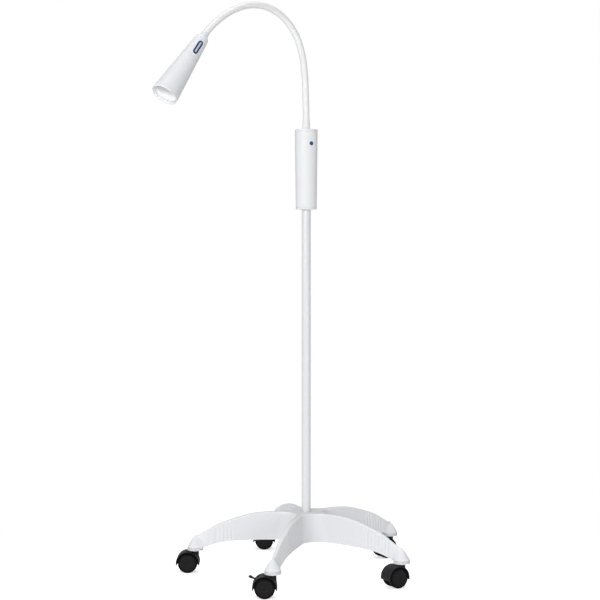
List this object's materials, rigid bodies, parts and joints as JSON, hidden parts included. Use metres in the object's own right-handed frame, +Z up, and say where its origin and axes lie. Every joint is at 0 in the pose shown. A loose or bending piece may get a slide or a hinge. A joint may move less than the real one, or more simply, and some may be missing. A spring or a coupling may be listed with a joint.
{
  "type": "surgical light",
  "caption": "Examination light on a castor stand: star base, slim white pole, cylindrical driver housing, bending gooseneck and a conical lamp head.",
  "frame": {"origin": "on the pole's axis, at the hub underside (the pole bolt head's face); the floor is 84.5 mm below", "axes": "+Z up along the pole; -Y towards the side with the front castor and the power button; +X to the right of that view"},
  "size_m": [0.6173, 0.621, 1.4393],
  "materials": {
    "base_plastic": "fine satin moulded white",
    "pole_paint": "smooth white powder coat",
    "housing_plastic": "satin white",
    "head_plastic": "semi-gloss white",
    "sleeve": "smooth white sleeve",
    "castor_black": "satin black",
    "wheel_black": "dull black tread",
    "steel": "zinc plated",
    "black_part": "black",
    "board": "green circuit board",
    "navy_plastic": "navy blue",
    "pale_blue_plastic": "pale blue",
    "lens": "clear, frosted inside",
    "led": "white board with a yellow phosphor dome",
    "reflector_chrome": "metallised cup",
    "heat_sink_alu": "bare aluminium"
  },
  "bodies": {
    "root": {"base_star": "base_plastic", "pole_tube": "pole_paint", "pole_foot_insert": "steel", "pole_bolt": "steel", "pole_washer": "steel", "housing_shell": "housing_plastic", "housing_top_cap": "housing_plastic", "housing_bottom_cap": "housing_plastic", "pole_clamp_screw": "steel", "power_inlet": "black_part", "driver_board": "board", "power_switch": "black_part", "neck_base_ferrule": "housing_plastic", "castor_front_stem": "steel", "castor_right_stem": "steel", "castor_rear_right_stem": "steel", "castor_rear_left_stem": "steel", "castor_left_stem": "steel"},
    "neck_link_01": {"neck_link_01": "sleeve"},
    "neck_link_02": {"neck_link_02": "sleeve"},
    "neck_link_03": {"neck_link_03": "sleeve"},
    "neck_link_04": {"neck_link_04": "sleeve"},
    "neck_link_05": {"neck_link_05": "sleeve"},
    "neck_link_06": {"neck_link_06": "sleeve"},
    "neck_link_07": {"neck_link_07": "sleeve"},
    "neck_link_08": {"neck_link_08": "sleeve"},
    "neck_link_09": {"neck_link_09": "sleeve"},
    "neck_link_10": {"neck_link_10": "sleeve"},
    "lamp_head": {"head_ferrule": "housing_plastic", "head_shell": "head_plastic", "head_bezel": "head_plastic", "front_lens": "lens", "reflector": "reflector_chrome", "led_board": "led", "heat_sink": "heat_sink_alu", "switch_surround": "navy_plastic", "head_switch": "black_part"},
    "switch_pad": {"switch_pad": "pale_blue_plastic"},
    "power_button": {"power_button": "navy_plastic"},
    "castor_front_fork": {"castor_front_hood": "castor_black", "castor_front_axle": "steel"},
    "castor_front_wheel_a": {"castor_front_wheel_a": "wheel_black"},
    "castor_front_wheel_b": {"castor_front_wheel_b": "wheel_black"},
    "brake_lever": {"brake_lever": "castor_black"},
    "castor_right_fork": {"castor_right_hood": "castor_black", "castor_right_axle": "steel"},
    "castor_right_wheel_a": {"castor_right_wheel_a": "wheel_black"},
    "castor_right_wheel_b": {"castor_right_wheel_b": "wheel_black"},
    "castor_rear_right_fork": {"castor_rear_right_hood": "castor_black", "castor_rear_right_axle": "steel"},
    "castor_rear_right_wheel_a": {"castor_rear_right_wheel_a": "wheel_black"},
    "castor_rear_right_wheel_b": {"castor_rear_right_wheel_b": "wheel_black"},
    "castor_rear_left_fork": {"castor_rear_left_hood": "castor_black", "castor_rear_left_axle": "steel"},
    "castor_rear_left_wheel_a": {"castor_rear_left_wheel_a": "wheel_black"},
    "castor_rear_left_wheel_b": {"castor_rear_left_wheel_b": "wheel_black"},
    "castor_left_fork": {"castor_left_hood": "castor_black", "castor_left_axle": "steel"},
    "castor_left_wheel_a": {"castor_left_wheel_a": "wheel_black"},
    "castor_left_wheel_b": {"castor_left_wheel_b": "wheel_black"}
  },
  "joints": [
    {"name": "arm_01_sway", "type": "hinge", "parent": "root", "child": "neck_link_01", "pos_m": [0, 0, 1.077], "axis": [-0.7488, -0.6625, -0.0175], "range_deg": [-30, 30]},
    {"name": "arm_02_bend", "type": "hinge", "parent": "neck_link_01", "child": "neck_link_02", "pos_m": [-0.00143, -0.00126, 1.13157], "axis": [0.6626, -0.749, 0], "range_deg": [-32.2, 29.8]},
    {"name": "arm_03_bend", "type": "hinge", "parent": "neck_link_02", "child": "neck_link_03", "pos_m": [-0.00371, -0.00328, 1.18608], "axis": [0.6626, -0.749, 0], "range_deg": [-37.6, 24.4]},
    {"name": "arm_04_sway", "type": "hinge", "parent": "neck_link_03", "child": "neck_link_04", "pos_m": [-0.01067, -0.00944, 1.23988], "axis": [-0.7143, -0.632, -0.3007], "range_deg": [-28, 28]},
    {"name": "arm_05_bend", "type": "hinge", "parent": "neck_link_04", "child": "neck_link_05", "pos_m": [-0.02808, -0.02484, 1.28929], "axis": [0.6626, -0.749, 0], "range_deg": [-52.2, 9.8]},
    {"name": "arm_06_bend", "type": "hinge", "parent": "neck_link_05", "child": "neck_link_06", "pos_m": [-0.0577, -0.05104, 1.32694], "axis": [0.6626, -0.749, 0], "range_deg": [-53.7, 8.3]},
    {"name": "arm_07_bend", "type": "hinge", "parent": "neck_link_06", "child": "neck_link_07", "pos_m": [-0.0959, -0.08484, 1.34642], "axis": [0.6626, -0.749, 0], "range_deg": [-51.8, 10.2]},
    {"name": "arm_08_sway", "type": "hinge", "parent": "neck_link_07", "child": "neck_link_08", "pos_m": [-0.13679, -0.12102, 1.34651], "axis": [-0.1126, -0.0997, 0.9886], "range_deg": [-26, 26]},
    {"name": "arm_09_bend", "type": "hinge", "parent": "neck_link_08", "child": "neck_link_09", "pos_m": [-0.17581, -0.15555, 1.33019], "axis": [-0.6626, 0.749, 0], "range_deg": [-17.3, 44.7]},
    {"name": "arm_10_bend", "type": "hinge", "parent": "neck_link_09", "child": "neck_link_10", "pos_m": [-0.21083, -0.18652, 1.30198], "axis": [-0.6626, 0.749, 0], "range_deg": [-20.1, 41.9]},
    {"name": "arm_11_sway", "type": "hinge", "parent": "neck_link_10", "child": "lamp_head", "pos_m": [-0.24122, -0.21341, 1.26545], "axis": [0.5427, 0.4802, -0.6891], "range_deg": [-30, 30]},
    {"name": "head_switch_press", "type": "slide", "parent": "lamp_head", "child": "switch_pad", "axis": [-0.4791, 0.8536, -0.2046], "range_m": [0, 0.001], "stiffness_N_per_m": 400},
    {"name": "power_button_press", "type": "slide", "parent": "root", "child": "power_button", "axis": [-0.4648, 0.8854, 0], "range_m": [0, 0.0015], "stiffness_N_per_m": 400},
    {"name": "castor_front_swivel", "type": "hinge", "parent": "root", "child": "castor_front_fork", "pos_m": [-0.08106, -0.27365, -0.0395], "axis": [0, 0, 1], "continuous": true},
    {"name": "castor_front_roll_a", "type": "hinge", "parent": "castor_front_fork", "child": "castor_front_wheel_a", "pos_m": [-0.10036, -0.27365, -0.0595], "axis": [0, -1, 0], "continuous": true},
    {"name": "castor_front_roll_b", "type": "hinge", "parent": "castor_front_fork", "child": "castor_front_wheel_b", "pos_m": [-0.10036, -0.27365, -0.0595], "axis": [0, -1, 0], "continuous": true},
    {"name": "brake_lever_press", "type": "hinge", "parent": "castor_front_fork", "child": "brake_lever", "pos_m": [-0.11386, -0.27365, -0.039], "axis": [0, -1, 0], "range_deg": [0, 6]},
    {"name": "castor_right_swivel", "type": "hinge", "parent": "root", "child": "castor_right_fork", "pos_m": [0.23521, -0.16165, -0.0395], "axis": [0, 0, 1], "continuous": true},
    {"name": "castor_right_roll_a", "type": "hinge", "parent": "castor_right_fork", "child": "castor_right_wheel_a", "pos_m": [0.21849, -0.1713, -0.0595], "axis": [0.5, -0.866, 0], "continuous": true},
    {"name": "castor_right_roll_b", "type": "hinge", "parent": "castor_right_fork", "child": "castor_right_wheel_b", "pos_m": [0.21849, -0.1713, -0.0595], "axis": [0.5, -0.866, 0], "continuous": true},
    {"name": "castor_rear_right_swivel", "type": "hinge", "parent": "root", "child": "castor_rear_right_fork", "pos_m": [0.22642, 0.17374, -0.0395], "axis": [0, 0, 1], "continuous": true},
    {"name": "castor_rear_right_roll_a", "type": "hinge", "parent": "castor_rear_right_fork", "child": "castor_rear_right_wheel_a", "pos_m": [0.20971, 0.16409, -0.0595], "axis": [0.5, -0.866, 0], "continuous": true},
    {"name": "castor_rear_right_roll_b", "type": "hinge", "parent": "castor_rear_right_fork", "child": "castor_rear_right_wheel_b", "pos_m": [0.20971, 0.16409, -0.0595], "axis": [0.5, -0.866, 0], "continuous": true},
    {"name": "castor_rear_left_swivel", "type": "hinge", "parent": "root", "child": "castor_rear_left_fork", "pos_m": [-0.09527, 0.26903, -0.0395], "axis": [0, 0, 1], "continuous": true},
    {"name": "castor_rear_left_roll_a", "type": "hinge", "parent": "castor_rear_left_fork", "child": "castor_rear_left_wheel_a", "pos_m": [-0.11457, 0.26903, -0.0595], "axis": [0, -1, 0], "continuous": true},
    {"name": "castor_rear_left_roll_b", "type": "hinge", "parent": "castor_rear_left_fork", "child": "castor_rear_left_wheel_b", "pos_m": [-0.11457, 0.26903, -0.0595], "axis": [0, -1, 0], "continuous": true},
    {"name": "castor_left_swivel", "type": "hinge", "parent": "root", "child": "castor_left_fork", "pos_m": [-0.2853, -0.00747, -0.0395], "axis": [0, 0, 1], "continuous": true},
    {"name": "castor_left_roll_a", "type": "hinge", "parent": "castor_left_fork", "child": "castor_left_wheel_a", "pos_m": [-0.3046, -0.00747, -0.0595], "axis": [0, -1, 0], "continuous": true},
    {"name": "castor_left_roll_b", "type": "hinge", "parent": "castor_left_fork", "child": "castor_left_wheel_b", "pos_m": [-0.3046, -0.00747, -0.0595], "axis": [0, -1, 0], "continuous": true}
  ]
}
